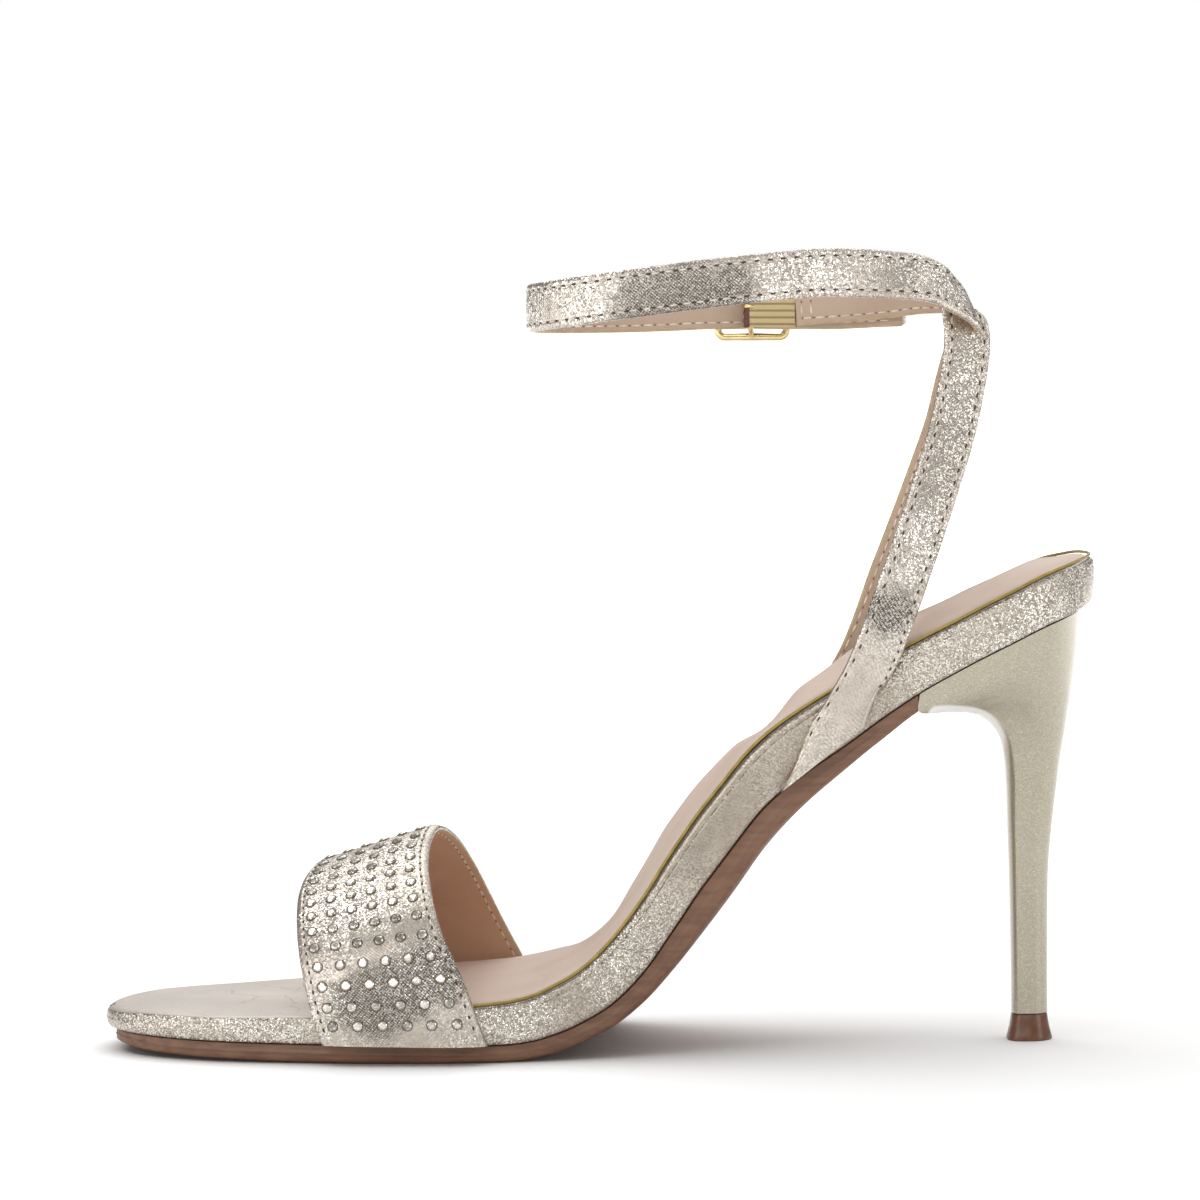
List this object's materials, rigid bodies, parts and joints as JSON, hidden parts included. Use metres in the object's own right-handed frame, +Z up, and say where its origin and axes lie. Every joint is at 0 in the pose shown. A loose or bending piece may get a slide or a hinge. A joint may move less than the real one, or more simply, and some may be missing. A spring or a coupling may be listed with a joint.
{
  "type": "strappy high heeled sandal",
  "caption": "Right high heeled sandal with a broad studded vamp strap, wrapped insole board, slim painted heel and straps that cross behind the ankle and buckle at its outer side",
  "frame": {"origin": "centre of the box round the shoe, on the floor", "axes": "X runs from the toe at -X to the heel at +X, the inner side of the foot is at -Y, Z is up and the floor is at z = 0"},
  "size_m": [0.2198, 0.0794, 0.177],
  "materials": {
    "sole_leather": "semi-matt brown sole leather",
    "metallic_wrap": "crackled metallic champagne",
    "lining": "matt pink beige lining",
    "piping": "satin olive gold cord",
    "heel_paint": "satin metallic champagne paint",
    "top_piece": "brown hard rubber",
    "gold": "polished gold plate",
    "webbing": "ribbed gold elastic"
  },
  "bodies": {
    "root": {"outsole": "sole_leather", "platform_board": "metallic_wrap", "insole_sock": "lining", "sock_piping": "piping", "heel": "heel_paint", "heel_tip": "top_piece", "vamp_strap": "metallic_wrap", "ankle_straps": "metallic_wrap", "buckle_frame": "gold", "buckle_elastic": "webbing", "buckle_prong": "gold"}
  },
  "joints": []
}
